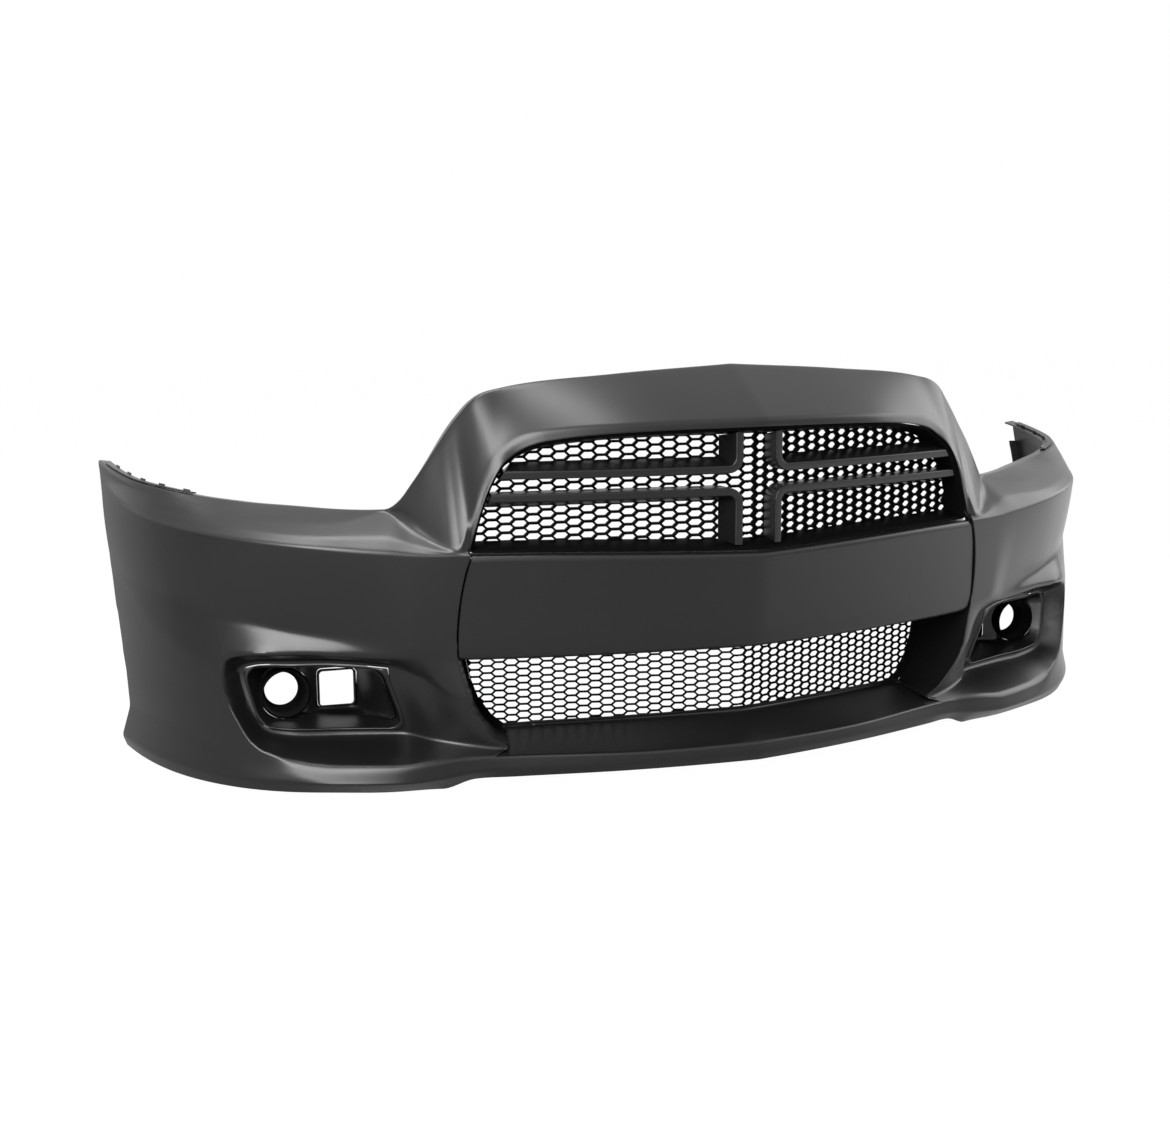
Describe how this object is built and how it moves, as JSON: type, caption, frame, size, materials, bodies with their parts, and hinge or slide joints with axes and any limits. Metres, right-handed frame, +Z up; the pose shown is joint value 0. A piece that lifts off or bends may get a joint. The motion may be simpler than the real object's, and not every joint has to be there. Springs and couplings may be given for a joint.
{
  "type": "front bumper cover",
  "caption": "Moulded front bumper cover for a saloon car, with honeycomb grilles behind a cross of bars, a centre panel, lamp bezels and a chin lip.",
  "frame": {"origin": "middle of the width and of the depth, at the lowest edge of the chin", "axes": "+X across the car to the right as seen from the front, +Y towards the car, +Z up; the front faces -Y"},
  "size_m": [1.8496, 0.6122, 0.6434],
  "materials": {
    "skin_plastic": "satin black moulded plastic",
    "grille_plastic": "black moulded plastic",
    "screw_steel": "dark zinc"
  },
  "bodies": {
    "root": {"bumper_skin": "skin_plastic", "centre_panel": "skin_plastic", "grille_surround": "grille_plastic", "bar_upper_left": "grille_plastic", "bar_upper_right": "grille_plastic", "bar_lower_left": "grille_plastic", "bar_lower_right": "grille_plastic", "upper_mesh_left": "grille_plastic", "upper_mesh_right": "grille_plastic", "lower_mesh_left": "grille_plastic", "lower_mesh_right": "grille_plastic", "lower_frame_left": "grille_plastic", "lower_frame_right": "grille_plastic", "fog_bezel_left": "grille_plastic", "fog_bezel_right": "grille_plastic", "fog_sleeve_left": "grille_plastic", "fog_sleeve_right": "grille_plastic", "brake_duct_left": "grille_plastic", "brake_duct_right": "grille_plastic", "fender_rail_left": "grille_plastic", "fender_rail_right": "grille_plastic", "upper_tabs": "skin_plastic", "lower_tabs": "skin_plastic", "arch_tabs_left": "skin_plastic", "arch_tabs_right": "skin_plastic", "grille_screws": "screw_steel", "mesh_screws": "screw_steel"}
  },
  "joints": []
}
